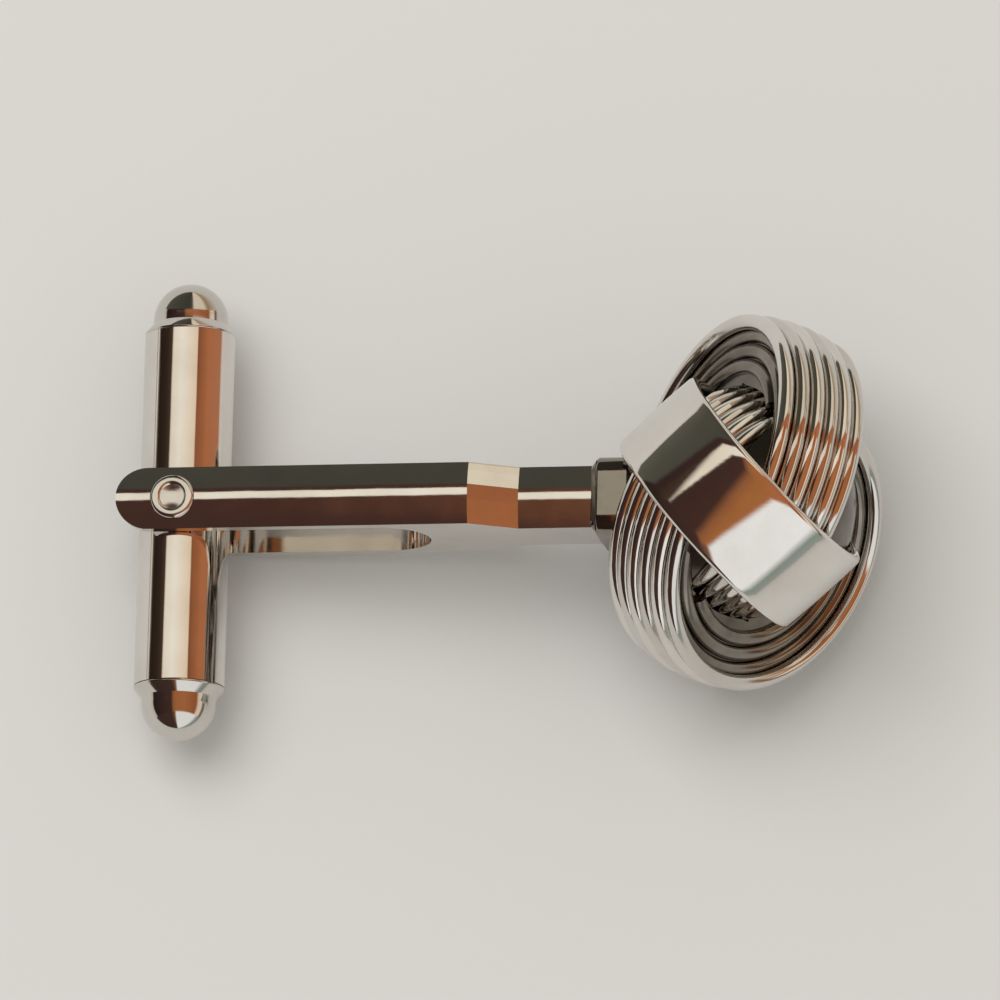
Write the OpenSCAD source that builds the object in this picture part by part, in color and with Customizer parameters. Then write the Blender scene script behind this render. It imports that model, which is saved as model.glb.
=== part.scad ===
// Love-knot cufflink with a bullet-back swivel toggle.
// It lies as it does on a table: on the knot and on the free end of the post's fork.
// Every piece is drawn about the knot's centre with the post along -X and the pivot
// pin along Z, and place() then lays the finished link down on the surface.

/* [Toggle] */
// Length of the toggle over both noses
toggle_len = 18; // [16:0.5:21]
// Outer diameter of the toggle's tube
toggle_dia = 3.5; // [3.2:0.02:4.2]
// Wall of the toggle's tube
tube_wall = 0.35; // [0.25:0.05:0.45]
// Length of the cone between the tube and the nose
cone_len = 0.5; // [0.3:0.05:0.9]
// Diameter of the nose where it leaves the cone
nose_dia = 2.88; // [2.6:0.02:3]
// Height of the nose above the cone
nose_len = 1.6; // [1.52:0.02:2.2]
// Length of the nose's plug inside the tube
plug_len = 1.2; // [0.6:0.1:2]

/* [Post] */
// Distance from the knot's centre to the pivot
post_len = 21.6; // [20.5:0.1:25]
// Height of the post across its narrow side
post_h = 2.4; // [2.2:0.05:2.5]
// Thickness of each fork arm at the middle of its crown
arm_t = 0.7; // [0.6:0.05:1]
// Gap between the toggle and each fork arm
arm_gap = 0.06; // [0.04:0.01:0.1]
// Distance from the pivot to the arms' free ends
arm_end = 2.2; // [1.9:0.05:2.6]
// Room between the folded toggle's nose and the fork's root
nose_gap = 0.6; // [0.3:0.05:0.9]
// Length of the solid root between the slot and the taper
root_len = 1.8; // [1:0.1:2.4]
// Length of the taper between the root and the neck
taper_len = 1.8; // [1.2:0.1:2.6]
// Depth of the neck along the pin's direction
neck_d = 3.1; // [2.7:0.05:3.2]
// Radius on the post's long edges
edge_r = 0.2; // [0.1:0.05:0.3]
// Radius of the crown across the post's outer faces
post_crown_r = 3; // [2.5:0.1:6]

/* [Pivot pin] */
// Diameter of the pin
pin_dia = 1.3; // [1.1:0.05:1.45]
// Width across the pin's four click flats
flat_w = 1.02; // [0.85:0.01:1.05]
// Diameter of the pin's heads
head_dia = 1.7; // [1.6:0.02:1.8]
// Depth to which the pin's heads are let into the arms
head_t = 0.25; // [0.15:0.05:0.35]
// Height of the pin's heads over the crown
head_rise = 0.08; // [0.04:0.01:0.12]
// Diameter of the dimple in each head
dimple_dia = 0.9; // [0.5:0.05:1.1]
// Depth of the dimple in each head
dimple_depth = 0.08; // [0.05:0.01:0.12]
// Running clearance round the pin in the toggle
pin_clear = 0.03; // [0.02:0.01:0.05]

/* [Click spring] */
// Length of the leaf spring inside the toggle
spring_len = 9; // [7:0.5:11]
// Width of the leaf spring
spring_w = 1.5; // [1:0.1:1.7]
// Thickness of the leaf spring
spring_t = 0.15; // [0.1:0.01:0.18]

/* [Knot] */
// Turn of the knot about the post, from the pin's direction
knot_turn = -14; // [-30:1:30]
// Radius of the plain band, to its outer face
band_ring_r = 4.75; // [4.7:0.05:4.85]
// Distance that the plain band is shifted sideways from the post's axis
band_shift = 1.6; // [1.55:0.01:1.7]
// Distance that the plain band is shifted forward along the post's axis
band_fore = 0.1; // [0:0.01:0.15]
// Width of the plain band
band_w = 3.9; // [3.4:0.05:4]
// Thickness of the plain band
band_t = 0.6; // [0.5:0.01:0.62]
// Round on the plain band's corners
band_r = 0.1; // [0.05:0.01:0.2]
// Lean of the plain band away from square to the post
band_tilt = 41; // [40:0.5:42]
// Radius of each ribbed band, to its outer face
ribbed_ring_r = 5.8; // [5.75:0.01:5.83]
// Distance that each ribbed band is shifted sideways from the post's axis
ribbed_shift = 1.56; // [1.53:0.01:1.65]
// Diameter of each wire of the ribbed bands
wire_dia = 0.6; // [0.56:0.01:0.61]
// Gap between neighbouring wires
wire_gap = 0.02; // [0.01:0.005:0.03]
// Lean of the ribbed bands away from square to the post
ribbed_tilt = 40; // [39:0.5:41]
// Radius of the crown across a ribbed band
crown_r = 6; // [5:0.5:9]
// Width of the web that carries each ring
web_w = 2.2; // [2:0.1:2.8]
// Depth to which the core is open over the plain band
band_open = 1.3; // [1.2:0.1:1.5]
// Greatest radius of the core's middle
core_r = 4; // [3.8:0.05:4.1]
// Half length of the core along the post
core_half = 4.3; // [4.2:0.05:4.4]
// Radius of the core's domed faces
dome_r = 5; // [4.8:0.1:6]
// Radius of the boss on the core's back, under the cup
boss_r = 2.3; // [2.2:0.05:2.5]
// Depth of the boss's face below the top of the dome
land_depth = 0.2; // [0.15:0.05:0.3]

/* [Back cup] */
// Thickness of the cup behind the knot
cup_len = 1.3; // [1.1:0.05:1.6]
// Rim of the cup round the neck
cup_rim = 0.33; // [0.25:0.01:0.36]
// Depth of the cup's pocket for the neck
pocket_depth = 0.5; // [0.3:0.05:0.7]
// Radius of the cup's corners
cup_r = 0.7; // [0.5:0.05:0.9]

/* [Hidden] */
$fn = 96;

// Silver-toned plating, with a slight change of shade from piece to piece
silver_pale = "#dedcd8";
silver_mid = "#cfcdca";
silver_deep = "#b9b7b4";
spring_grey = "#9a9da1";

// Overrun of every cut past the face that it opens
cut = 0.5;
// Hairline between soldered or pressed pieces
seat = 0.005;

// Toggle
toggle_r = toggle_dia / 2;
bore_r = toggle_r - tube_wall;
nose_r = nose_dia / 2;
tube_half = toggle_len / 2 - nose_len - cone_len;

// Post
slot_half = toggle_r + arm_gap;
fork_d = 2 * (slot_half + arm_t);
slot_reach = toggle_len / 2 + nose_gap;
root_end = slot_reach + root_len;
cup_back = core_half - land_depth + cup_len;
neck_end = cup_back - pocket_depth;

// Pin
pin_r = pin_dia / 2;
head_r = head_dia / 2;
flat_half = bore_r - tube_wall / 2;
head_top = fork_d / 2 + head_rise;
head_h = head_t + head_rise - seat;

// Spring, bowed so that its middle clears the pin and its ends reach the tube's wall
spring_near = pin_r + seat;
spring_far = sqrt(bore_r * bore_r - spring_w * spring_w / 4) - seat - spring_t;
spring_rise = spring_far - spring_near;
spring_bow = (spring_len * spring_len / 4 + spring_rise * spring_rise) / (2 * spring_rise);

// Knot: three closed rings, each shifted its own way round the post's axis
near_turn = knot_turn - 120;
far_turn = knot_turn + 120;
wires = 6;
wire_r = wire_dia / 2;
wire_pitch = wire_dia + wire_gap;
ribbed_half = (wires * wire_pitch) / 2;
function wire_off(i) = (i - (wires + 1) / 2) * wire_pitch;
function wire_ring_r(i) = ribbed_ring_r - wire_r - wire_off(i) * wire_off(i) / (2 * crown_r);

// Directions round the post, measured from +Z towards +Y
function round_post(a) = [0, sin(a), cos(a)];
function ring_axis(turn, tilt) = cos(tilt) * [1, 0, 0] - sin(tilt) * round_post(turn - 90);
band_at = band_fore * [1, 0, 0] + band_shift * round_post(knot_turn);
function ribbed_at(turn) = ribbed_shift * round_post(turn);

// How far a ring centred at c reaches in direction u: a circle of radius r, lifted by z
// along the ring's own axis, with a round section of radius s about it
function ring_reach(c, turn, tilt, r, z, s, u) =
    let (lean = ring_axis(turn, tilt) * u)
    c * u + r * sqrt(max(0, 1 - lean * lean)) + z * lean + s;
function knot_reach(u) = max(concat(
    [for (side = [-1, 1]) ring_reach(band_at, knot_turn, band_tilt,
        band_ring_r - band_r, side * (band_w / 2 - band_r), band_r, u)],
    [for (turn = [near_turn, far_turn]) for (i = [1:wires]) ring_reach(ribbed_at(turn), turn,
        ribbed_tilt, wire_ring_r(i), wire_off(i), wire_r, u)]
));

// The slope at which the knot and the fork's end touch the surface together
tip_x = post_len + arm_end;
function slope(turns, s = 10) = turns == 0 ? s
    : slope(turns - 1, asin((knot_reach([-sin(s), 0, -cos(s)]) - fork_d / 2 * cos(s)) / tip_x));
lie = slope(20);
lift = knot_reach([-sin(lie), 0, -cos(lie)]);
reach_right = knot_reach([cos(lie), 0, -sin(lie)]);
reach_left = tip_x * cos(lie) + fork_d / 2 * sin(lie);
mid_x = (reach_right - reach_left) / 2;

// Lays the link on the surface with its footprint centred on the origin
module place() {
    translate([-mid_x, 0, lift]) rotate([0, -lie, 0]) children();
}

// Puts a ring that was turned about Z at its own centre c and lean
module lay_ring(c, turn, tilt) {
    translate(c) rotate([-turn, 0, 0]) rotate([0, 0, tilt]) rotate([0, 90, 0]) children();
}
module lay_plain() { lay_ring(band_at, knot_turn, band_tilt) children(); }
module lay_ribbed(turn) { lay_ring(ribbed_at(turn), turn, ribbed_tilt) children(); }

// Moves shapes drawn about the pivot to the pivot's place
module at_pivot() {
    translate([-post_len, 0, 0]) children();
}

// Rectangle with round corners, centred
module round_rect(a, b, r) {
    square([a - 2 * r, b], center = true);
    square([a, b - 2 * r], center = true);
    for (x = [-1, 1], y = [-1, 1]) translate([x * (a / 2 - r), y * (b / 2 - r)]) circle(r = r);
}

// Bar along X with a round-cornered section, from x0 to x1
module bar(x0, x1, h, d, r) {
    translate([x0, 0, 0]) rotate([90, 0, 90]) linear_extrude(x1 - x0) round_rect(h, d, r);
}

// Bar along X as the post's: its two outer faces are crowned
module crowned_bar(x0, x1, h, d) {
    translate([x0, 0, 0]) rotate([90, 0, 90]) linear_extrude(x1 - x0) intersection() {
        round_rect(h, d, edge_r);
        translate([0, d / 2 - post_crown_r]) circle(r = post_crown_r);
        translate([0, post_crown_r - d / 2]) circle(r = post_crown_r);
    }
}

// Channel that a ribbed band lies in: its floor and its top follow the crown
module ribbed_channel() {
    floor_r = [for (i = [1:wires]) wire_ring_r(i) - wire_r - seat];
    top_r = [for (i = [1:wires]) wire_ring_r(i) + wire_r + seat];
    rotate_extrude() polygon(concat(
        [[top_r[0], -ribbed_half], [floor_r[0], -ribbed_half]],
        [for (i = [1:wires]) [floor_r[i - 1], wire_off(i)]],
        [[floor_r[wires - 1], ribbed_half], [top_r[wires - 1], ribbed_half]],
        [for (i = [wires:-1:1]) [top_r[i - 1], wire_off(i)]]
    ));
}

// Channel that the plain band lies in, open above the band
module plain_channel() {
    rotate_extrude() translate([band_ring_r - band_t - seat, -band_w / 2 - seat])
        square([band_t + seat + band_open, band_w + 2 * seat]);
}

// Middle of the core: two domed faces, a round rim and a boss with a flat face for the cup
module core_lens() {
    difference() {
        union() {
            intersection() {
                translate([core_half - dome_r, 0, 0]) rotate([0, 90, 0]) sphere(r = dome_r);
                translate([dome_r - core_half, 0, 0]) rotate([0, 90, 0]) sphere(r = dome_r);
                rotate([0, 90, 0]) cylinder(r = core_r, h = 2 * core_half, center = true);
            }
            translate([-core_half, 0, 0]) rotate([0, 90, 0]) cylinder(r = boss_r, h = core_half);
        }
        translate([-core_half - cut, 0, 0]) rotate([0, 90, 0])
            cylinder(r = core_r + cut, h = land_depth + cut);
    }
}

// Solid inside of the knot: the middle, a web inside each ring, and each ring's channel
module knot_core() {
    color(silver_deep) place() difference() {
        union() {
            core_lens();
            lay_plain() cylinder(r = band_ring_r - band_t / 2, h = web_w, center = true);
            for (turn = [near_turn, far_turn])
                lay_ribbed(turn) cylinder(r = ribbed_ring_r - wire_r, h = web_w, center = true);
        }
        lay_plain() plain_channel();
        lay_ribbed(near_turn) ribbed_channel();
        lay_ribbed(far_turn) ribbed_channel();
    }
}

// Wide polished strip, closed into a ring
module plain_band() {
    color(silver_pale) place() lay_plain()
        rotate_extrude() translate([band_ring_r - band_t / 2, 0]) round_rect(band_t, band_w, band_r);
}

// One wire of a ribbed band, closed into a ring
module wire(turn, i) {
    color(i % 2 == 0 ? silver_mid : silver_pale) place() lay_ribbed(turn)
        rotate_extrude() translate([wire_ring_r(i), wire_off(i)]) circle(r = wire_r);
}
module near_wire(i) { wire(near_turn, i); }
module far_wire(i) { wire(far_turn, i); }

// Cup soldered on the core's flat land, with a pocket for the neck
module back_cup() {
    color(silver_mid) place() difference() {
        bar(-cup_back, -core_half + land_depth, post_h + 2 * cup_rim, neck_d + 2 * cup_rim, cup_r);
        bar(-cup_back - cut, -neck_end, post_h + 2 * seat, neck_d + 2 * seat, edge_r);
    }
}

// Taper from the root's depth to the neck's
module taper() {
    hull() {
        crowned_bar(root_end - seat, root_end, post_h, fork_d, $fn = 64);
        crowned_bar(root_end + taper_len, root_end + taper_len + seat, post_h, neck_d, $fn = 64);
    }
}

// Neck, taper, root and fork in one piece, with the slot that the toggle folds into
module post_fork() {
    color(silver_pale) place() at_pivot() difference() {
        union() {
            intersection() {
                crowned_bar(-arm_end, root_end, post_h, fork_d);
                union() {
                    translate([post_h / 2 - arm_end, 0, 0])
                        cylinder(d = post_h, h = fork_d, center = true);
                    translate([post_h / 2 - arm_end, -post_h / 2, -fork_d / 2])
                        cube([root_end + arm_end, post_h, fork_d]);
                }
            }
            taper();
            crowned_bar(root_end + taper_len, post_len - neck_end - seat, post_h, neck_d);
        }
        translate([-arm_end - cut, -post_h, -slot_half])
            cube([slot_reach - slot_half + arm_end + cut, 2 * post_h, 2 * slot_half]);
        translate([slot_reach - slot_half, 0, 0]) rotate([90, 0, 0])
            cylinder(r = slot_half, h = 2 * post_h, center = true);
        cylinder(r = pin_r + seat, h = fork_d + 2 * cut, center = true);
        for (side = [-1, 1]) translate([0, 0, side * (fork_d / 2 - head_t / 2 + cut / 2)])
            cylinder(r = head_r + seat, h = head_t + cut, center = true);
    }
}

// Riveted pin with four flats in the middle, where the spring clicks
module pivot_pin() {
    color(silver_mid) place() at_pivot() difference() {
        union() {
            cylinder(r = pin_r, h = fork_d, center = true);
            for (side = [-1, 1]) translate([0, 0, side * (head_top - head_h / 2)])
                cylinder(r = head_r, h = head_h, center = true);
        }
        for (a = [0:90:270]) rotate([0, 0, a]) translate([flat_w / 2, -pin_dia, -flat_half])
            cube([pin_dia, 2 * pin_dia, 2 * flat_half]);
        for (side = [-1, 1]) translate([0, 0, side * (head_top + cut / 2 - dimple_depth / 2)])
            cylinder(d = dimple_dia, h = dimple_depth + cut, center = true);
    }
}

// Tube of the toggle, with the cross hole for the pin
module toggle_tube() {
    color(silver_pale) place() at_pivot() difference() {
        rotate([90, 0, 0]) cylinder(r = toggle_r, h = 2 * tube_half, center = true);
        rotate([90, 0, 0]) cylinder(r = bore_r, h = 2 * tube_half + 2 * cut, center = true);
        cylinder(r = pin_r + pin_clear, h = toggle_dia + 2 * cut, center = true);
    }
}

// Cone, nose and plug that close one end of the tube; side is +1 or -1 along Y
module nose(side) {
    dome_base = nose_len - nose_r;
    color(silver_mid) place() at_pivot() rotate([-90 * side, 0, 0]) translate([0, 0, tube_half])
        rotate_extrude() {
            translate([0, -plug_len]) square([bore_r - seat, plug_len]);
            polygon([[0, 0], [toggle_r, 0], [nose_r, cone_len], [0, cone_len]]);
            translate([0, cone_len]) square([nose_r, dome_base]);
            intersection() {
                translate([0, cone_len + dome_base]) circle(r = nose_r);
                translate([0, cone_len + dome_base]) square([nose_r, nose_r]);
            }
        }
}
module nose_left() { nose(-1); }
module nose_right() { nose(1); }

// Bowed leaf spring beside the pin, its ends against the tube's wall
module click_spring() {
    color(spring_grey) place() at_pivot() intersection() {
        translate([spring_near + spring_bow, 0, 0]) difference() {
            cylinder(r = spring_bow, h = spring_w, center = true, $fn = 4 * $fn);
            cylinder(r = spring_bow - spring_t, h = spring_w + cut, center = true, $fn = 4 * $fn);
        }
        translate([0, -spring_len / 2, -spring_w / 2]) cube([bore_r, spring_len, spring_w]);
    }
}

knot_core();
plain_band();
for (i = [1:wires]) near_wire(i);
for (i = [1:wires]) far_wire(i);
back_cup();
post_fork();
pivot_pin();
toggle_tube();
nose_left();
nose_right();
click_spring();
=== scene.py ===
"""Love-knot cufflink with a bullet-back swivel toggle: fine pieces, finishes, light and camera.

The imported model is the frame. Lengths in the dataclasses are in millimetres, as on the drawing, and meshes
are in metres. The link is drawn about the knot's centre with the post along -X and the pin along Z, and
Lay.matrix() then lays it down on the surface.
"""

import logging
import math
from dataclasses import dataclass, field
from enum import Enum
from typing import Callable, Mapping

import bpy
from mathutils import Matrix, Vector

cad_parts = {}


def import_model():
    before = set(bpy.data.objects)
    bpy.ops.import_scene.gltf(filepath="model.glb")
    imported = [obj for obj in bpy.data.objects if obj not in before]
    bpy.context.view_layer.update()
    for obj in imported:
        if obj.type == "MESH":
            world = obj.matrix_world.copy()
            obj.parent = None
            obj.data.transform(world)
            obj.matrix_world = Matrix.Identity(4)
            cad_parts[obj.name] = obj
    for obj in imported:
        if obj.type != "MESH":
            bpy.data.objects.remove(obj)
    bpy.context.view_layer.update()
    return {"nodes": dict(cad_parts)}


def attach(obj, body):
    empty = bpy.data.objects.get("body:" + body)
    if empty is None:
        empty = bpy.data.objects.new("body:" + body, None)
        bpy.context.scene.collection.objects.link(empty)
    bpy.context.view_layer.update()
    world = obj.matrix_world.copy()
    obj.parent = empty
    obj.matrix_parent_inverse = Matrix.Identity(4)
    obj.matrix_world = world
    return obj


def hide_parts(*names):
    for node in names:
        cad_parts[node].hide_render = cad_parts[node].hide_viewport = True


LOG = logging.getLogger("cufflink")
MM = 0.001
WELD_MM = 0.0005  # Points nearer than this are one point
PIVOT_X = -21.6  # The pin's axis in the drawing
FULL_TURN_DEG = 360

Stops = tuple[tuple[float, str], ...]  # Places from 0 to 1, each with its hex colour
Profile = list[tuple[float, float]]  # Radius and height of each point


class Body(str, Enum):
    """The bodies that pieces ride on."""

    LINK = "link"
    TOGGLE = "toggle"


class Slot(str, Enum):
    """The record's material slots."""

    PALE = "silver_pale"
    MID = "silver_mid"
    DEEP = "silver_deep"
    SPRING = "spring_grey"


def linear(hex_colour: str) -> tuple[float, float, float, float]:
    """Turns an sRGB hex colour to linear light.

    Args:
        hex_colour: Colour such as "#dedcd8".

    Returns:
        Linear red, green, blue and an alpha of 1.
    """
    parts = [int(hex_colour[i:i + 2], 16) / 255 for i in (1, 3, 5)]
    red, green, blue = [p / 12.92 if p <= 0.04045 else ((p + 0.055) / 1.055) ** 2.4 for p in parts]
    return red, green, blue, 1.0


def add_node(
    tree: bpy.types.NodeTree, kind: str, inputs: Mapping[str | int, object] | None = None, **settings: object
) -> bpy.types.Node:
    """Adds a node, sets its properties, and fills or links its inputs.

    Args:
        tree: Tree that takes the node.
        kind: Type name of the node.
        inputs: Input name or index, to a value or to the output socket that feeds it.
        settings: The node's own properties.

    Returns:
        The new node.
    """
    node = tree.nodes.new(kind)
    for name, value in settings.items():
        setattr(node, name, value)
    for key, value in (inputs or {}).items():
        if isinstance(value, bpy.types.NodeSocket):
            tree.links.new(value, node.inputs[key])
        else:
            node.inputs[key].default_value = value
    return node


def colour_ramp(
    tree: bpy.types.NodeTree, factor: bpy.types.NodeSocket, stops: Stops
) -> bpy.types.NodeSocket:
    """Adds a colour ramp.

    Args:
        tree: Tree that takes the node.
        factor: Socket that says how far along the ramp the colour lies.
        stops: Its colours.

    Returns:
        Socket with the colour.
    """
    node = add_node(tree, "ShaderNodeValToRGB", {0: factor})
    elements = node.color_ramp.elements
    while len(elements) > 1:
        elements.remove(elements[-1])
    elements[0].position, elements[0].color = stops[0][0], linear(stops[0][1])
    for place, colour in stops[1:]:
        elements.new(place).color = linear(colour)
    return node.outputs["Color"]


def new_material(name: str) -> tuple[bpy.types.Material, bpy.types.NodeTree, bpy.types.Node]:
    """Starts a material.

    Args:
        name: Its name.

    Returns:
        The material, its node tree and the tree's shader.
    """
    material = bpy.data.materials.new(name)
    material.use_nodes = True
    return material, material.node_tree, material.node_tree.nodes["Principled BSDF"]


@dataclass(frozen=True)
class PolishedSilver:
    """Bright plating on a buffed casting: a mirror with faint waves, hairlines and a trace of tarnish."""

    name: str
    tone: str
    tarnish: str
    mirror: float = 0.045
    haze: float = 0.10
    wave_mm: float = 1.6
    wave_depth_mm: float = 0.006
    hairline_mm: float = 0.09
    hairline_depth_mm: float = 0.0004
    hairline_stretch: float = 14.0
    hairline_turn: tuple[float, float, float] = (0.3, 0.5, 0.7)
    hairline_range: tuple[float, float] = (0.5, 0.85)
    hairline_haze_share: float = 0.35
    tarnish_mm: float = 2.4
    tarnish_range: tuple[float, float] = (0.42, 0.78)
    tarnish_share: float = 0.30

    def material(self) -> bpy.types.Material:
        """Builds the finish.

        Returns:
            The new material.
        """
        material, tree, shader = new_material(self.name)
        place = add_node(tree, "ShaderNodeTexCoord").outputs["Object"]

        # Tarnish gathers in soft patches a few millimetres across
        patches = add_node(tree, "ShaderNodeTexNoise", {
            "Vector": place, "Scale": 1 / (self.tarnish_mm * MM), "Detail": 4.0, "Roughness": 0.55})
        share = add_node(tree, "ShaderNodeMapRange", {
            "Value": patches.outputs["Fac"], "From Min": self.tarnish_range[0],
            "From Max": self.tarnish_range[1], "To Max": self.tarnish_share})
        colour = add_node(tree, "ShaderNodeMix", {
            "Factor": share.outputs["Result"], "A": linear(self.tone), "B": linear(self.tarnish)},
            data_type="RGBA")

        # Hairlines from the buffing wheel lie nearly one way, a tenth of a millimetre apart
        lay = add_node(tree, "ShaderNodeMapping", {
            "Vector": place, "Rotation": self.hairline_turn,
            "Scale": (1.0, self.hairline_stretch, self.hairline_stretch)})
        hairs = add_node(tree, "ShaderNodeTexNoise", {
            "Vector": lay.outputs["Vector"], "Scale": 1 / (self.hairline_stretch * self.hairline_mm * MM),
            "Detail": 2.0})
        gloss = add_node(tree, "ShaderNodeMapRange", {
            "Value": hairs.outputs["Fac"], "From Min": self.hairline_range[0],
            "From Max": self.hairline_range[1], "To Min": self.mirror,
            "To Max": self.mirror + self.hairline_haze_share * self.haze})
        rough = add_node(tree, "ShaderNodeMath", {
            0: share.outputs["Result"], 1: self.haze, 2: gloss.outputs["Result"]}, operation="MULTIPLY_ADD")

        # The casting's own waves bend the reflections
        waves = add_node(tree, "ShaderNodeTexNoise", {
            "Vector": place, "Scale": 1 / (self.wave_mm * MM), "Detail": 1.0, "Roughness": 0.4})
        swell = add_node(tree, "ShaderNodeBump", {
            "Height": waves.outputs["Fac"], "Distance": self.wave_depth_mm * MM, "Strength": 1.0})
        scratch = add_node(tree, "ShaderNodeBump", {
            "Height": hairs.outputs["Fac"], "Distance": self.hairline_depth_mm * MM, "Strength": 1.0,
            "Normal": swell.outputs["Normal"]})

        tree.links.new(colour.outputs["Result"], shader.inputs["Base Color"])
        tree.links.new(rough.outputs["Value"], shader.inputs["Roughness"])
        tree.links.new(scratch.outputs["Normal"], shader.inputs["Normal"])
        shader.inputs["Metallic"].default_value = 1.0
        return material


@dataclass(frozen=True)
class SpringSteel:
    """Cold-rolled spring strip: grey, satin, with fine marks along its length."""

    name: str = "spring_steel"
    tone: str = "#9a9da1"
    grain_mm: float = 0.12
    grain_stretch: float = 12.0
    roughness: tuple[float, float] = (0.26, 0.42)

    def material(self) -> bpy.types.Material:
        """Builds the finish.

        Returns:
            The new material.
        """
        material, tree, shader = new_material(self.name)
        place = add_node(tree, "ShaderNodeTexCoord").outputs["Object"]
        lay = add_node(tree, "ShaderNodeMapping", {
            "Vector": place, "Scale": (self.grain_stretch, 1.0, self.grain_stretch)})
        grain = add_node(tree, "ShaderNodeTexNoise", {
            "Vector": lay.outputs["Vector"], "Scale": 1 / (self.grain_stretch * self.grain_mm * MM),
            "Detail": 3.0})
        rough = add_node(tree, "ShaderNodeMapRange", {
            "Value": grain.outputs["Fac"], "To Min": self.roughness[0], "To Max": self.roughness[1]})
        tree.links.new(rough.outputs["Result"], shader.inputs["Roughness"])
        shader.inputs["Base Color"].default_value = linear(self.tone)
        shader.inputs["Metallic"].default_value = 1.0
        return material


@dataclass(frozen=True)
class PaleFloor:
    """Matt pale board that the link lies on."""

    name: str = "pale_floor"
    tone: str = "#d6d4d0"
    roughness: float = 0.9
    sheen: float = 0.2

    def material(self) -> bpy.types.Material:
        """Builds the finish.

        Returns:
            The new material.
        """
        material, _, shader = new_material(self.name)
        shader.inputs["Base Color"].default_value = linear(self.tone)
        shader.inputs["Roughness"].default_value = self.roughness
        shader.inputs["Specular IOR Level"].default_value = self.sheen
        return material


@dataclass
class Finishes:
    """The finishes of the link, built once and shared."""

    pale: PolishedSilver = PolishedSilver("polished_silver_pale", "#e2dfda", "#b3a797")
    mid: PolishedSilver = PolishedSilver("polished_silver_mid", "#d6d3ce", "#a89c8c", mirror=0.055)
    # The core between the bands: oxide in its hollows, and a darker tone that is painted shade
    deep: PolishedSilver = PolishedSilver(
        "silver_oxide_and_painted_shade", "#777168", "#38322b", mirror=0.12, haze=0.22, tarnish_share=0.75)
    # Painted shade: a darker tone for the cup, the inner wires and the solder, which lie in the knot's shade;
    # its tarnish patches are tarnish
    shaded: PolishedSilver = PolishedSilver(
        "silver_tarnish_and_painted_shade", "#8d877e", "#463e36", mirror=0.09, haze=0.20, tarnish_share=0.7)
    spring: SpringSteel = SpringSteel()
    built: dict[str, bpy.types.Material] = field(default_factory=dict)

    def get(self, slot: Slot) -> bpy.types.Material:
        """Gives the material of a slot.

        Args:
            slot: Slot of the record.

        Returns:
            The material, built at the first call.
        """
        recipes = {Slot.PALE: self.pale, Slot.MID: self.mid, Slot.DEEP: self.deep, Slot.SPRING: self.spring}
        return self.make(recipes[slot])

    def make(self, recipe: PolishedSilver | SpringSteel) -> bpy.types.Material:
        """Gives the material of a recipe.

        Args:
            recipe: One of the finishes.

        Returns:
            The material, built at the first call.
        """
        if recipe.name not in self.built:
            self.built[recipe.name] = recipe.material()
        return self.built[recipe.name]


@dataclass(frozen=True)
class Lay:
    """Where the drawn link lies on the surface."""

    slope_deg: float = 9.90699
    lift: float = 6.56735
    knot_x: float = 9.2171

    def matrix(self) -> Matrix:
        """Gives the move from the drawing to the surface.

        Returns:
            Matrix that takes drawing millimetres to metres on the surface.
        """
        turn = Matrix.Rotation(-math.radians(self.slope_deg), 4, "Y")
        return Matrix.Scale(MM, 4) @ Matrix.Translation((self.knot_x, 0, self.lift)) @ turn


def deselect() -> None:
    """Clears the selection, which the frame leaves on its nodes."""
    if bpy.context.object and bpy.context.object.mode != "OBJECT":
        bpy.ops.object.mode_set(mode="OBJECT")
    bpy.ops.object.select_all(action="DESELECT")


def make_active(piece: bpy.types.Object) -> None:
    """Selects one object alone and makes it active.

    Args:
        piece: Object to select.
    """
    deselect()
    piece.select_set(True)
    bpy.context.view_layer.objects.active = piece


def dress(piece: bpy.types.Object, material: bpy.types.Material) -> None:
    """Gives a piece one material in all its slots.

    Args:
        piece: Object to dress.
        material: Its finish.
    """
    piece.data.materials.clear()
    piece.data.materials.append(material)
    for face in piece.data.polygons:
        face.material_index = 0


def modify(piece: bpy.types.Object, kind: str, **settings: object) -> None:
    """Adds a modifier to the active piece and applies it.

    Args:
        piece: The active object.
        kind: Type name of the modifier.
        settings: The modifier's own properties.
    """
    modifier = piece.modifiers.new(kind.lower(), kind)
    for name, value in settings.items():
        setattr(modifier, name, value)
    bpy.ops.object.modifier_apply(modifier=modifier.name)


def even_normals(piece: bpy.types.Object, sharp_deg: float) -> None:
    """Shades a piece smooth up to an angle, with large faces keeping their own lean.

    Args:
        piece: Object to shade.
        sharp_deg: Edges steeper than this stay sharp.
    """
    make_active(piece)
    bpy.ops.object.shade_smooth_by_angle(angle=math.radians(sharp_deg))
    modify(piece, "WEIGHTED_NORMAL", mode="FACE_AREA", weight=50, keep_sharp=True)


def face_outwards() -> None:
    """Turns all faces of the mesh in edit mode outwards and leaves edit mode."""
    bpy.ops.mesh.select_all(action="SELECT")
    bpy.ops.mesh.normals_make_consistent(inside=False)
    bpy.ops.object.mode_set(mode="OBJECT")


def solid_block(*size: float) -> bpy.types.Object:
    """Adds a block at the origin and opens it in edit mode.

    Args:
        size: Its lengths along X, Y and Z.

    Returns:
        The new object, in edit mode.
    """
    deselect()
    bpy.ops.mesh.primitive_cube_add(size=1.0, location=(0, 0, 0), scale=size)
    bpy.ops.object.transform_apply(scale=True)
    bpy.ops.object.mode_set(mode="EDIT")
    return bpy.context.object


def settle(piece: bpy.types.Object, place: Matrix) -> None:
    """Puts a piece that was modelled in drawing millimetres in its place, with the place in its mesh.

    Args:
        piece: Object at the origin.
        place: Move from the drawing to the surface.
    """
    make_active(piece)
    piece.matrix_world = place
    bpy.ops.object.transform_apply(location=True, rotation=True, scale=True)


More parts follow.
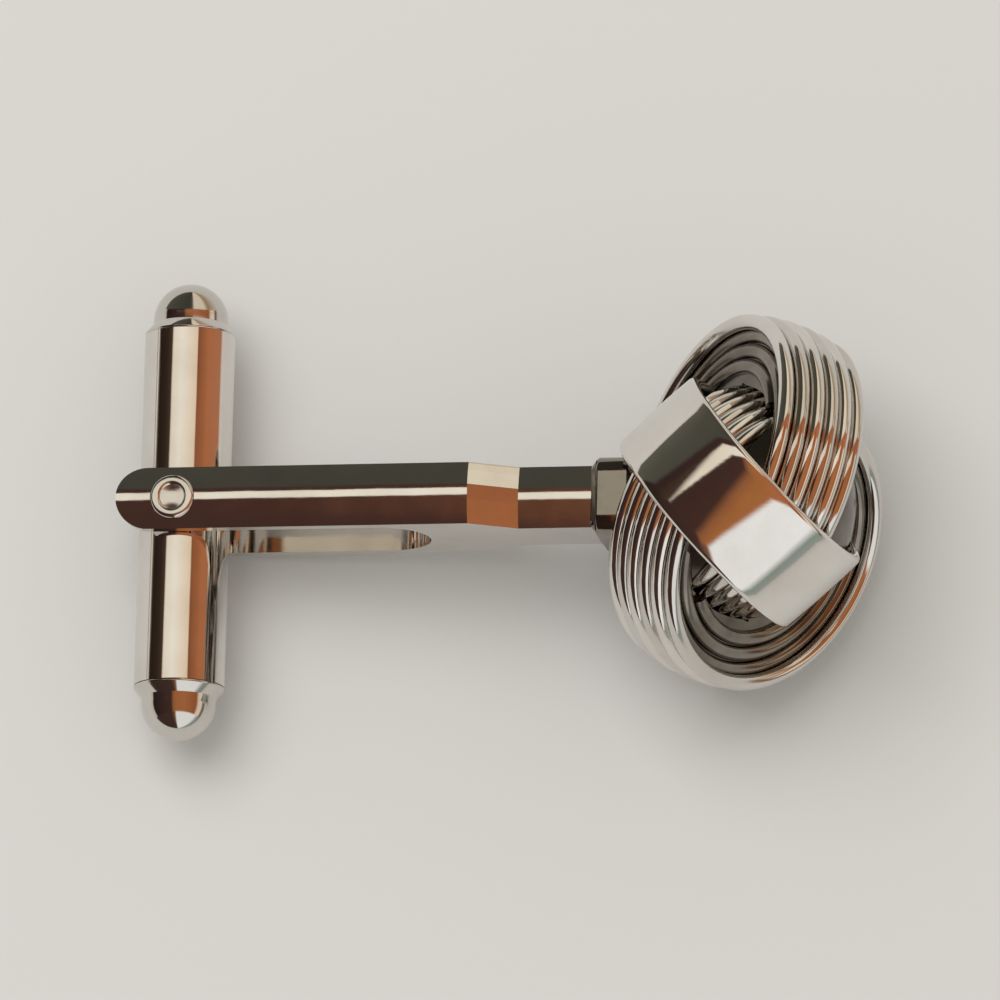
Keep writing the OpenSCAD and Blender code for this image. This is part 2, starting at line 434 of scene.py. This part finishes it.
def fit(
    piece: bpy.types.Object, name: str, slot: Slot, body: Body, material: bpy.types.Material, *stands_for: str
) -> None:
    """Names a piece, gives it its finish and body, and hides the nodes that it stands for.

    Args:
        piece: Finished object.
        name: Its name.
        slot: Slot of the record that its finish belongs to; not used.
        body: Body that it rides on.
        material: Its finish.
        stands_for: CAD nodes that it replaces.
    """
    piece.name = piece.data.name = name
    dress(piece, material)
    if stands_for:
        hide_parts(*stands_for)
    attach(piece, body.value)
    LOG.info("%s: %d faces on %s", name, len(piece.data.polygons), body.value)


def pick(piece: bpy.types.Object, kind: str, test: Callable[[Vector], bool]) -> None:
    """Selects, in edit mode, the vertices or edges whose middle passes a test.

    Args:
        piece: Object in edit mode.
        kind: "VERT" or "EDGE".
        test: Takes a middle point and says whether it is wanted.
    """
    bpy.ops.mesh.select_mode(type=kind)
    bpy.ops.mesh.select_all(action="DESELECT")
    bpy.ops.object.mode_set(mode="OBJECT")
    mesh = piece.data
    for vert in mesh.vertices:
        vert.select = kind == "VERT" and test(vert.co)
    for edge in mesh.edges:
        ends = [mesh.vertices[i].co for i in edge.vertices]
        edge.select = kind == "EDGE" and test((ends[0] + ends[1]) / 2)
    bpy.ops.object.mode_set(mode="EDIT")


def turned(profile: Profile, steps: int = 96) -> bpy.types.Object:
    """Turns a solid on the lathe: walks one point along a profile and spins the line round Z.

    Args:
        profile: Outline from one end of the axis to the other.
        steps: Steps round the axis.

    Returns:
        The turned object, at the origin.
    """
    deselect()
    bpy.ops.mesh.primitive_plane_add(size=1.0, location=(0, 0, 0))
    piece = bpy.context.object
    bpy.ops.object.mode_set(mode="EDIT")
    bpy.ops.mesh.select_mode(type="VERT")
    bpy.ops.mesh.select_all(action="SELECT")
    bpy.ops.mesh.merge(type="CENTER")
    bpy.ops.transform.translate(value=(profile[0][0], 0, profile[0][1]))
    for (r0, z0), (r1, z1) in zip(profile, profile[1:]):
        bpy.ops.mesh.extrude_region_move(TRANSFORM_OT_translate={"value": (r1 - r0, 0, z1 - z0)})
    bpy.ops.mesh.select_all(action="SELECT")
    bpy.ops.mesh.spin(steps=steps, angle=2 * math.pi, center=(0, 0, 0), axis=(0, 0, 1))
    bpy.ops.mesh.select_all(action="SELECT")
    bpy.ops.mesh.remove_doubles(threshold=WELD_MM)
    face_outwards()
    return piece


def arc(centre: tuple[float, float], radius: float, start_deg: float, end_deg: float, steps: int) -> Profile:
    """Gives points of a round on a profile.

    Args:
        centre: Radius and height of the round's centre.
        radius: Radius of the round.
        start_deg: First angle, from the outward direction towards +Z.
        end_deg: Last angle.
        steps: Number of steps between them.

    Returns:
        The points, both ends included.
    """
    angles = [math.radians(start_deg + (end_deg - start_deg) * i / steps) for i in range(steps + 1)]
    return [(max(0.0, centre[0] + radius * math.cos(a)), centre[1] + radius * math.sin(a)) for a in angles]


@dataclass
class BuffedCup:
    """The cup behind the knot with its sharp edges broken, as tumbling and buffing leave them."""

    node: str = "back_cup"
    edge_mm: float = 0.12
    edge_steps: int = 3
    flat_deg: float = 0.4
    sharp_deg: float = 28.0
    smooth_deg: float = 40.0

    def build(self, source: bpy.types.Object, finishes: Finishes) -> None:
        """Copies the node, merges it, breaks its edges and puts it on its body.

        Args:
            source: The CAD node.
            finishes: Finishes of the link.
        """
        cup = bpy.data.objects.new(f"{self.node}_buffed", source.data.copy())
        bpy.context.scene.collection.objects.link(cup)
        make_active(cup)
        bpy.ops.object.mode_set(mode="EDIT")
        bpy.ops.mesh.select_all(action="SELECT")
        if cup.data.has_custom_normals:
            bpy.ops.mesh.customdata_custom_splitnormals_clear()
        bpy.ops.mesh.remove_doubles(threshold=WELD_MM * MM)
        bpy.ops.mesh.dissolve_limited(angle_limit=math.radians(self.flat_deg))
        bpy.ops.object.mode_set(mode="OBJECT")
        modify(cup, "BEVEL", width=self.edge_mm * MM, segments=self.edge_steps, limit_method="ANGLE",
               angle_limit=math.radians(self.sharp_deg))
        even_normals(cup, self.smooth_deg)
        # The cup takes the darker finish: painted shade from the knot over it
        fit(cup, cup.name, Slot.MID, Body.LINK, finishes.make(finishes.shaded), self.node)


@dataclass(frozen=True)
class Ring:
    """Where one ring of the knot lies in the drawing, and the room that its band takes.

    The ring leans by tilt_deg from a ring square to the post and is turned by turn_deg about the post. Its
    centre is shifted sideways from the post's line, and fore along it.
    """

    turn_deg: float
    tilt_deg: float
    shift: float
    fore: float
    inner_r: float
    outer_r: float
    half: float

    def place(self) -> Matrix:
        """Gives the ring's place in the drawing.

        Returns:
            Matrix from the ring's own frame, whose Z is its axis, to the drawing.
        """
        turn = math.radians(self.turn_deg)
        centre = (self.fore, self.shift * math.sin(turn), self.shift * math.cos(turn))
        return (Matrix.Translation(centre) @ Matrix.Rotation(-turn, 4, "X")
                @ Matrix.Rotation(math.radians(self.tilt_deg), 4, "Z") @ Matrix.Rotation(math.pi / 2, 4, "Y"))

    def holds(self, point: Vector) -> bool:
        """Says whether a point of the drawing is inside the ring's band.

        Args:
            point: Point in drawing millimetres.

        Returns:
            True inside the band.
        """
        own = self.place().inverted() @ point
        return self.inner_r < math.hypot(own.x, own.y) < self.outer_r and abs(own.z) < self.half


PLAIN_RING = Ring(turn_deg=-14.0, tilt_deg=41.0, shift=1.6, fore=0.1, inner_r=4.15, outer_r=4.75, half=1.95)
NEAR_RING = Ring(turn_deg=-134.0, tilt_deg=40.0, shift=1.56, fore=0.0, inner_r=4.95, outer_r=5.8, half=1.86)
FAR_RING = Ring(turn_deg=106.0, tilt_deg=40.0, shift=1.56, fore=0.0, inner_r=4.95, outer_r=5.8, half=1.86)


@dataclass
class InnerWires:
    """Inner rounds of a ribbed bundle: they lie on both faces of its web, between the bands that cross it."""

    name: str
    ring: Ring
    others: tuple[Ring, ...]
    radii: tuple[float, ...] = (4.89, 4.27, 3.65)
    wire_r: float = 0.3
    face: float = 1.1
    sides: int = 14
    step_deg: int = 3
    least_steps: int = 3
    core_r: float = 3.7
    dome_r: float = 4.7
    dome_x: float = 0.7
    smooth_deg: float = 60.0

    def is_free(self, point: Vector) -> bool:
        """Says whether a point is outside the other bands and outside the core's middle.

        Args:
            point: Point in drawing millimetres.

        Returns:
            True where a wire would show.
        """
        off_axis = math.hypot(point.y, point.z)
        buried = off_axis < self.core_r and math.hypot(abs(point.x) + self.dome_x, off_axis) < self.dome_r
        return not buried and not any(other.holds(point) for other in self.others)

    def arcs(self, radius: float, side: int) -> list[tuple[int, int]]:
        """Finds the free stretches of one round of wire.

        Args:
            radius: Radius of the round.
            side: Face of the web, -1 or 1.

        Returns:
            First and last angle of each stretch, in degrees.
        """
        place = self.ring.place()
        free = []
        for angle in range(0, FULL_TURN_DEG, self.step_deg):
            way = math.radians(angle)
            own = Vector((radius * math.cos(way), radius * math.sin(way), side * self.face))
            free.append(self.is_free(place @ own))
        found = []
        for index, is_open in enumerate(free):
            if is_open and not free[index - 1]:
                run = 1
                while free[(index + run) % len(free)]:
                    run += 1
                if run >= self.least_steps:
                    found.append((index * self.step_deg, (index + run - 1) * self.step_deg))
        return found

    def draw(self, radius: float, side: int, first: int, last: int) -> None:
        """Draws one stretch of wire, which reaches one step under the band at each end.

        Args:
            radius: Radius of the round.
            side: Face of the web, -1 or 1.
            first: First free angle in degrees.
            last: Last free angle in degrees.
        """
        start = math.radians(last + self.step_deg)
        bpy.ops.mesh.primitive_circle_add(
            vertices=self.sides, radius=self.wire_r, fill_type="NOTHING",
            location=(radius * math.cos(start), radius * math.sin(start), side * self.face),
            rotation=(math.pi / 2, 0, start))
        if bpy.context.mode == "OBJECT":
            # The first circle makes the object, and the others are added to its mesh
            bpy.ops.object.transform_apply(location=True, rotation=True)
            bpy.ops.object.mode_set(mode="EDIT")
            bpy.ops.mesh.select_mode(type="VERT")
            bpy.ops.mesh.select_all(action="SELECT")
        turn = last - first + 2 * self.step_deg
        bpy.ops.mesh.spin(
            steps=turn // self.step_deg, angle=math.radians(turn), center=(0, 0, 0), axis=(0, 0, 1))

    def build(self, finishes: Finishes) -> None:
        """Draws every free stretch as a round wire with closed ends.

        Args:
            finishes: Finishes of the link.
        """
        deselect()
        for side in (-1, 1):
            for radius in self.radii:
                for first, last in self.arcs(radius, side):
                    self.draw(radius, side, first, last)
        wires = bpy.context.object
        bpy.ops.mesh.select_all(action="SELECT")
        bpy.ops.mesh.fill_holes(sides=0)
        face_outwards()
        settle(wires, Lay().matrix() @ self.ring.place())
        make_active(wires)
        bpy.ops.object.shade_smooth_by_angle(angle=math.radians(self.smooth_deg))
        # The inner wires take the darker finish: painted shade between the bands
        fit(wires, self.name, Slot.MID, Body.LINK, finishes.make(finishes.shaded))


@dataclass
class RolledBand:
    """The wide plain strip: flat-rolled, a little crowned across, with its long edges rounded over."""

    ring_r: float = 4.75
    width: float = 3.9
    thick: float = 0.55
    edge: float = 0.2
    edge_steps: int = 4
    crown: float = 0.05
    steps: int = 288
    rows: int = 7
    sharp_deg: float = 60.0
    smooth_deg: float = 50.0

    def build(self, finishes: Finishes) -> None:
        """Rolls the strip into its ring.

        Args:
            finishes: Finishes of the link.
        """
        deselect()
        bpy.ops.mesh.primitive_cylinder_add(
            vertices=self.steps, radius=self.ring_r, depth=self.width, end_fill_type="NOTHING",
            location=(0, 0, 0))
        band = bpy.context.object
        bpy.ops.object.mode_set(mode="EDIT")
        pick(band, "EDGE", lambda middle: abs(middle.z) < self.edge)
        bpy.ops.mesh.subdivide(number_cuts=self.rows)
        for row in range(self.rows + 2):
            height = self.width * (row / (self.rows + 1) - 0.5)
            drop = self.crown * (2 * height / self.width) ** 2
            pick(band, "VERT", lambda point: abs(point.z - height) < self.edge / 4)
            share = 1 - drop / self.ring_r
            bpy.ops.transform.resize(value=(share, share, 1), center_override=(0, 0, 0))
        bpy.ops.object.mode_set(mode="OBJECT")
        modify(band, "SOLIDIFY", thickness=self.thick, offset=-1.0)
        modify(band, "BEVEL", width=self.edge, segments=self.edge_steps, limit_method="ANGLE",
               angle_limit=math.radians(self.sharp_deg))
        settle(band, Lay().matrix() @ PLAIN_RING.place())
        even_normals(band, self.smooth_deg)
        fit(band, "plain_band_rolled", Slot.PALE, Body.LINK, finishes.get(Slot.PALE), "plain_band")


@dataclass
class Knot:
    """Three closed rings linked through each other over a core."""

    band: RolledBand = field(default_factory=RolledBand)
    inner: tuple[InnerWires, ...] = (
        InnerWires("near_inner_wires", NEAR_RING, (PLAIN_RING, FAR_RING)),
        InnerWires("far_inner_wires", FAR_RING, (PLAIN_RING, NEAR_RING)),
    )
    wires: int = 6

    def build(self, nodes: Mapping[str, bpy.types.Object], finishes: Finishes) -> None:
        """Rolls the plain band, and finishes the wires and the core.

        Args:
            nodes: The CAD nodes.
            finishes: Finishes of the link.
        """
        # The core takes the dark finish: oxide in its hollows and painted shade between the bands
        dress(nodes["knot_core"], finishes.get(Slot.DEEP))
        self.band.build(finishes)
        for bundle in self.inner:
            bundle.build(finishes)
        for side in ("near", "far"):
            for number in range(1, self.wires + 1):
                slot = Slot.MID if number % 2 == 0 else Slot.PALE
                dress(nodes[f"{side}_wire_{number}"], finishes.get(slot))
        LOG.info("knot dressed: core and %d wires", 2 * self.wires)


@dataclass
class RivetedPin:
    """Pin through both arms: domed heads punched in the middle, round shanks and four click flats."""

    pivot_x: float = PIVOT_X
    shank_r: float = 0.65
    flat_half: float = 1.225
    flat_w: float = 1.02
    head_r: float = 0.85
    head_floor: float = 2.265
    head_top: float = 2.59
    dimple_r: float = 0.45
    dimple_depth: float = 0.08
    dimple_rise: float = 0.25
    dimple_shares: tuple[float, ...] = (0.9, 0.6, 0.3, 0.0)
    lip: float = 0.12
    lip_steps: int = 6
    rim_end_deg: float = 150.0
    rim_steps: int = 4
    corner_share: float = 1.6
    corner_steps: int = 4
    smooth_deg: float = 35.0

    def end(self) -> bpy.types.Object:
        """Turns one end of the pin: shank, head and punched dimple.

        Returns:
            The turned end, which points along +Z.
        """
        crest = self.head_top - self.lip
        profile = [(0.0, self.flat_half), (self.shank_r, self.flat_half), (self.shank_r, self.head_floor),
                   (self.head_r, self.head_floor)]
        profile += arc((self.head_r - self.lip, crest), self.lip, 0, 90, self.lip_steps)
        profile += arc((self.dimple_r + self.lip, crest), self.lip, 90, self.rim_end_deg, self.rim_steps)
        floor = self.head_top - self.dimple_depth
        rise = self.dimple_rise * self.dimple_depth
        profile += [(self.dimple_r * share, floor + rise * share ** 2) for share in self.dimple_shares]
        return turned(profile)

    def build(self, finishes: Finishes) -> None:
        """Joins two turned ends and the squared middle.

        Args:
            finishes: Finishes of the link.
        """
        ends = [self.end(), self.end()]
        make_active(ends[1])
        bpy.ops.object.mode_set(mode="EDIT")
        bpy.ops.mesh.select_all(action="SELECT")
        bpy.ops.transform.rotate(value=math.pi, orient_axis="X", center_override=(0, 0, 0))
        bpy.ops.object.mode_set(mode="OBJECT")
        middle = solid_block(self.flat_w, self.flat_w, 2 * self.flat_half)
        pick(middle, "EDGE", lambda point: abs(point.z) < self.lip)
        corner = math.sqrt(2) * self.flat_w / 2 - self.shank_r
        bpy.ops.mesh.bevel(offset=self.corner_share * corner, segments=self.corner_steps)
        bpy.ops.object.mode_set(mode="OBJECT")
        make_active(middle)
        for end in ends:
            end.select_set(True)
        bpy.ops.object.join()
        settle(middle, Lay().matrix() @ Matrix.Translation((self.pivot_x, 0, 0)))
        even_normals(middle, self.smooth_deg)
        fit(middle, "pivot_pin_riveted", Slot.MID, Body.LINK, finishes.get(Slot.MID), "pivot_pin")


@dataclass
class SolderFillet:
    """Solder drawn into the corner between the neck and the cup's rim, in a finish darkened with painted
    shade.
    """

    neck_h: float = 2.4
    neck_d: float = 3.1
    neck_r: float = 0.25
    corner_steps: int = 5
    face_x: float = -5.4
    size: float = 0.2
    steps: int = 6
    bow: float = 0.6
    sink: float = 0.02
    end_share: float = 0.9
    rim_share: float = 0.98
    smooth_deg: float = 50.0

    def build(self, finishes: Finishes) -> None:
        """Draws the fillet round the neck.

        Args:
            finishes: Finishes of the link.
        """
        half = self.size / 2
        ring = solid_block(self.size, self.neck_h - self.sink, self.neck_d - self.sink)
        pick(ring, "EDGE", lambda point: abs(point.x) < half / 2)
        bpy.ops.mesh.bevel(offset=self.neck_r, segments=self.corner_steps)
        bpy.ops.mesh.select_mode(type="FACE")
        bpy.ops.mesh.select_all(action="DESELECT")
        bpy.ops.object.mode_set(mode="OBJECT")
        for face in ring.data.polygons:
            face.select = abs(face.normal.x) > self.end_share
        bpy.ops.object.mode_set(mode="EDIT")
        bpy.ops.mesh.delete(type="ONLY_FACE")
        # The outer skin: rings that widen towards the cup along a hollow curve
        pick(ring, "EDGE", lambda point: point.x < -self.rim_share * half)
        wide = 0.0
        for step in range(1, self.steps + 1):
            grow = self.size * (1 - math.cos(math.pi / 2 * step / self.steps)) ** self.bow - wide
            share_y = 1 + grow / (self.neck_h / 2 + wide)
            share_z = 1 + grow / (self.neck_d / 2 + wide)
            bpy.ops.mesh.extrude_region_move(TRANSFORM_OT_translate={"value": (self.size / self.steps, 0, 0)})
            bpy.ops.transform.resize(value=(1, share_y, share_z), center_override=(0, 0, 0))
            wide += grow
        bpy.ops.mesh.select_all(action="DESELECT")
        bpy.ops.mesh.select_non_manifold()
        bpy.ops.mesh.bridge_edge_loops()
        face_outwards()
        settle(ring, Lay().matrix() @ Matrix.Translation((self.face_x - half, 0, 0)))
        even_normals(ring, self.smooth_deg)
        # Painted shade: the darker finish for the corner at the neck
        fit(ring, "neck_solder", Slot.MID, Body.LINK, finishes.make(finishes.shaded))


@dataclass
class Post:
    """Neck, taper and fork in one piece, with the cup, its solder and the riveted pin."""

    cup: BuffedCup = field(default_factory=BuffedCup)
    pin: RivetedPin = field(default_factory=RivetedPin)
    solder: SolderFillet = field(default_factory=SolderFillet)

    def build(self, nodes: Mapping[str, bpy.types.Object], finishes: Finishes) -> None:
        """Finishes the post and makes its pieces.

        Args:
            nodes: The CAD nodes.
            finishes: Finishes of the link.
        """
        dress(nodes["post_fork"], finishes.get(Slot.PALE))
        self.cup.build(nodes[self.cup.node], finishes)
        self.pin.build(finishes)
        self.solder.build(finishes)


@dataclass
class TurnedNose:
    """End plug of the toggle, turned in one piece: plug, shoulder with a soft edge, cone and dome."""

    node: str
    side: int
    pivot_x: float = PIVOT_X
    seam_y: float = 6.9
    tube_r: float = 1.75
    plug_r: float = 1.395
    plug_len: float = 1.2
    cone_len: float = 0.5
    cone_gap: float = 0.05
    collar: float = 0.02
    dome_r: float = 1.44
    dome_base: float = 0.16
    dome_steps: int = 32
    soft: float = 0.07
    soft_end_deg: float = 32.0
    soft_steps: int = 6
    smooth_deg: float = 24.0

    def build(self, finishes: Finishes) -> None:
        """Turns the nose and presses it into the tube's end.

        Args:
            finishes: Finishes of the link.
        """
        profile = [(0.0, -self.plug_len), (self.plug_r, -self.plug_len), (self.plug_r, 0.0)]
        profile += arc(
            (self.tube_r - self.soft, self.soft), self.soft, -90, self.soft_end_deg, self.soft_steps)
        profile += [(self.dome_r + self.collar, self.cone_len - self.cone_gap)]
        profile += arc((0.0, self.cone_len + self.dome_base), self.dome_r, 0, 90, self.dome_steps)
        nose = turned(profile)
        place = Matrix.Translation((self.pivot_x, self.side * self.seam_y, 0))
        settle(nose, Lay().matrix() @ place @ Matrix.Rotation(-self.side * math.pi / 2, 4, "X"))
        even_normals(nose, self.smooth_deg)
        fit(nose, f"{self.node}_turned", Slot.MID, Body.TOGGLE, finishes.get(Slot.MID), self.node)


@dataclass
class Toggle:
    """Bullet-shaped toggle: tube, two turned noses and the click spring inside."""

    noses: tuple[TurnedNose, ...] = (TurnedNose("nose_left", -1), TurnedNose("nose_right", 1))

    def build(self, nodes: Mapping[str, bpy.types.Object], finishes: Finishes) -> None:
        """Turns the noses, and finishes the tube and the spring.

        Args:
            nodes: The CAD nodes.
            finishes: Finishes of the link.
        """
        dress(nodes["toggle_tube"], finishes.get(Slot.PALE))
        for nose in self.noses:
            nose.build(finishes)
        dress(nodes["click_spring"], finishes.get(Slot.SPRING))


@dataclass(frozen=True)
class Zone:
    """Colours round the room that take over while a direction's Y goes from one value to another."""

    colours: Stops
    starts: float
    full: float


@dataclass
class Studio:
    """Pale floor, soft light from a warm room, and the camera that looks nearly straight down."""

    lean_deg: float = -14.0
    roll_deg: float = 1.4
    distance_mm: float = 350.0
    view_width_mm: float = 38.0
    sensor_mm: float = 36.0
    target: tuple[float, float, float] = (0.0, 0.0, 6.0)
    floor_mm: float = 1200.0
    lamp_mm: float = 350.0
    lamp_at_mm: tuple[float, float, float] = (-150.0, 120.0, 450.0)
    lamp_watts: float = 1.2
    horizon: str = "#dbd9d5"
    plain_light: str = "#cfcdca"
    # Round the room from the left horizon over the top to the right one, as the silver shows it: brown
    # walls and a copper-lit one at the level of the eye, a cream strip, shade and a cream wall above in
    # the picture, brown shade and a white window below
    walls: Stops = (
        (0.00, "#b9b2a8"), (0.24, "#8d847a"), (0.26, "#e9e0d0"), (0.275, "#2b211b"), (0.34, "#3a2a28"),
        (0.442, "#4a322c"), (0.457, "#9a6240"), (0.475, "#b0703f"), (0.55, "#b9744c"), (0.66, "#a4623e"),
        (0.68, "#f0dcc2"), (0.71, "#f4e6d2"), (0.73, "#5e4434"), (0.75, "#b9b2a8"), (1.00, "#b9b2a8"),
    )
    strip: Stops = (
        (0.00, "#b9b2a8"), (0.25, "#8d847a"), (0.262, "#efe6d4"), (0.275, "#2b211b"), (0.34, "#35281f"),
        (0.375, "#4a3a30"), (0.385, "#f6ead6"), (0.45, "#fff8ea"), (0.555, "#f4dcc0"), (0.563, "#8e5638"),
        (0.64, "#b9744c"), (0.74, "#b5785a"), (0.755, "#f6e6d0"), (0.78, "#b9b2a8"), (1.00, "#b9b2a8"),
    )
    above: Stops = (
        (0.00, "#8d8a7e"), (0.30, "#55534a"), (0.48, "#45443b"), (0.51, "#5a574b"), (0.53, "#f2e8d4"),
        (0.62, "#efe2cc"), (0.66, "#a98a6c"), (0.74, "#cfc4b2"), (1.00, "#b9b2a8"),
    )
    below: Stops = (
        (0.00, "#8a7e74"), (0.28, "#40302a"), (0.44, "#4a362e"), (0.47, "#8a6048"), (0.485, "#ffffff"),
        (0.68, "#ffffff"), (0.72, "#8f9a92"), (0.78, "#a9aca6"), (1.00, "#b9b2a8"),
    )

    def floor(self) -> None:
        """Lays the floor under the link."""
        deselect()
        bpy.ops.mesh.primitive_plane_add(size=self.floor_mm * MM, location=(0, 0, 0))
        board = bpy.context.object
        board.name = "floor"
        dress(board, PaleFloor().material())

    def lamp(self) -> None:
        """Hangs one wide soft lamp over the link, which metal doesn't show as a square."""
        light = bpy.data.lights.new("soft_lamp", "AREA")
        light.shape = "SQUARE"
        light.size = self.lamp_mm * MM
        light.energy = self.lamp_watts
        lamp = bpy.data.objects.new("soft_lamp", light)
        lamp.location = Vector(self.lamp_at_mm) * MM
        lamp.rotation_euler = (-lamp.location).to_track_quat("-Z", "Y").to_euler()
        lamp.visible_glossy = False
        bpy.context.scene.collection.objects.link(lamp)

    def room(self, tree: bpy.types.NodeTree) -> bpy.types.NodeSocket:
        """Builds the warm soft zones that the silver shows.

        Args:
            tree: The world's node tree.

        Returns:
            Socket with the colour in each direction.
        """
        zones = (
            Zone(self.strip, starts=0.14, full=0.18), Zone(self.walls, starts=0.32, full=0.35),
            Zone(self.above, starts=0.40, full=0.46), Zone(self.below, starts=-0.50, full=-0.58),
        )
        way = add_node(tree, "ShaderNodeSeparateXYZ", {
            0: add_node(tree, "ShaderNodeTexCoord").outputs["Generated"]})
        round_y = add_node(tree, "ShaderNodeMath", {0: way.outputs["X"], 1: way.outputs["Z"]},
                           operation="ARCTAN2")
        share = add_node(tree, "ShaderNodeMapRange", {
            "Value": round_y.outputs["Value"], "From Min": -math.pi, "From Max": math.pi}).outputs["Result"]
        lit = colour_ramp(tree, share, self.walls)
        for zone in zones:
            reach = add_node(tree, "ShaderNodeMapRange", {
                "Value": way.outputs["Y"], "From Min": zone.starts, "From Max": zone.full},
                interpolation_type="SMOOTHSTEP")
            lit = add_node(tree, "ShaderNodeMix", {
                "Factor": reach.outputs["Result"], "A": lit, "B": colour_ramp(tree, share, zone.colours)},
                data_type="RGBA").outputs["Result"]
        return lit

    def world(self) -> None:
        """Sets the world: plain light for the floor, the room for the silver and a pale horizon."""
        world = bpy.data.worlds.new("soft_room")
        bpy.context.scene.world = world
        world.use_nodes = True
        tree = world.node_tree
        back = tree.nodes["Background"]
        ray = add_node(tree, "ShaderNodeLightPath")
        lit = add_node(tree, "ShaderNodeMix", {
            "Factor": ray.outputs["Is Glossy Ray"], "A": linear(self.plain_light), "B": self.room(tree)},
            data_type="RGBA")
        shown = add_node(tree, "ShaderNodeMix", {
            "Factor": ray.outputs["Is Camera Ray"], "A": lit.outputs["Result"], "B": linear(self.horizon)},
            data_type="RGBA")
        tree.links.new(shown.outputs["Result"], back.inputs["Color"])
        back.inputs["Strength"].default_value = 1.0

    def camera(self) -> None:
        """Sets the camera over the link, leaning towards the picture's bottom edge."""
        lean = math.radians(self.lean_deg)
        towards = Vector((0, math.sin(lean), math.cos(lean)))
        upward = Vector((0, math.cos(lean), -math.sin(lean)))
        turn = Matrix((Vector((1, 0, 0)), upward, towards)).transposed().to_4x4()
        turn = turn @ Matrix.Rotation(math.radians(self.roll_deg), 4, "Z")
        data = bpy.data.cameras.new("camera")
        data.sensor_width = self.sensor_mm
        data.lens = self.sensor_mm * self.distance_mm / self.view_width_mm
        eye = bpy.data.objects.new("camera", data)
        eye.matrix_world = Matrix.Translation((Vector(self.target) + self.distance_mm * towards) * MM) @ turn
        bpy.context.scene.collection.objects.link(eye)
        bpy.context.scene.camera = eye

    def build(self) -> None:
        """Sets up the whole studio."""
        self.camera()
        self.floor()
        self.lamp()
        self.world()
        bpy.context.scene.view_settings.view_transform = "Standard"


def main() -> None:
    """Dresses the frame, adds the fine pieces and sets the studio."""
    logging.basicConfig(level=logging.INFO, format="%(name)s: %(message)s")
    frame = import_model()
    nodes = frame["nodes"]
    finishes = Finishes()
    Studio().build()
    Knot().build(nodes, finishes)
    Post().build(nodes, finishes)
    Toggle().build(nodes, finishes)
    deselect()


if __name__ == "__main__":
    main()
